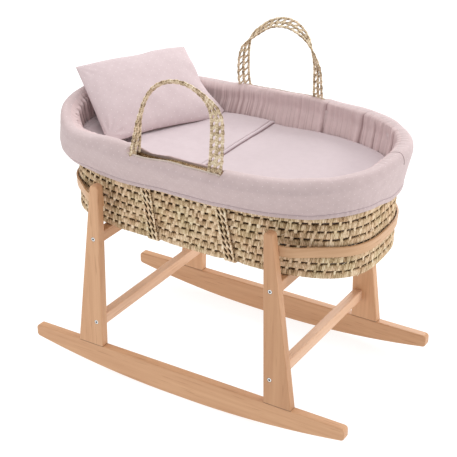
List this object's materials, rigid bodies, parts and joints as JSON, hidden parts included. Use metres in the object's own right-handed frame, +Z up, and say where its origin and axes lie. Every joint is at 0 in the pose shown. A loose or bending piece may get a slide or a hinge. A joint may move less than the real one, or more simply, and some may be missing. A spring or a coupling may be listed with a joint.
{
  "type": "moses basket rocking stand",
  "caption": "Beech rocking stand with tapered legs, cross bars and bent wood end hoops, carrying a lift-off palm moses basket with handles, padded liner, mattress, coverlet and pillow.",
  "frame": {"origin": "on the floor, midway along and between the two rockers", "axes": "+X along the length of the basket and the rockers, towards the foot end; +Y across, towards the back; +Z up"},
  "size_m": [0.84, 0.5152, 0.788],
  "materials": {
    "beech": "satin",
    "bent_beech": "satin",
    "dowel_beech": "matte",
    "steel": "satin",
    "palm_weave": "matte",
    "palm_plait": "matte",
    "liner_cloth": "matte",
    "sheet_cloth": "matte",
    "coverlet_cloth": "matte",
    "pillow_cloth": "matte"
  },
  "bodies": {
    "stand": {"rocker_front": "beech", "rocker_back": "beech", "leg_front_left": "beech", "leg_front_right": "beech", "leg_back_left": "beech", "leg_back_right": "beech", "upper_bar_left": "beech", "upper_bar_right": "beech", "lower_bar_left": "beech", "lower_bar_right": "beech", "hoop_left": "bent_beech", "hoop_right": "bent_beech", "frame_bolts": "steel", "barrel_nuts": "steel", "bar_dowels": "dowel_beech", "leg_dowels": "dowel_beech", "hoop_screws": "steel"},
    "basket": {"basket_wall": "palm_weave", "basket_base": "palm_weave", "basket_rim": "palm_plait", "carry_strap_left": "palm_plait", "carry_strap_right": "palm_plait", "liner": "liner_cloth", "mattress": "sheet_cloth", "coverlet": "coverlet_cloth"},
    "front_handle": {"front_handle": "palm_plait"},
    "back_handle": {"back_handle": "palm_plait"},
    "pillow": {"pillow": "pillow_cloth"}
  },
  "joints": [
    {"name": "basket_lift", "type": "slide", "parent": "stand", "child": "basket", "axis": [0, 0, 1], "range_m": [0, 0.3]},
    {"name": "front_handle_swing", "type": "hinge", "parent": "basket", "child": "front_handle", "pos_m": [0, -0.228, 0.609], "axis": [1, 0, 0], "range_deg": [-60, 75]},
    {"name": "back_handle_swing", "type": "hinge", "parent": "basket", "child": "back_handle", "pos_m": [0, 0.228, 0.609], "axis": [-1, 0, 0], "range_deg": [-60, 75]},
    {"name": "pillow_lift", "type": "slide", "parent": "basket", "child": "pillow", "axis": [0, 0, 1], "range_m": [0, 0.25]}
  ]
}
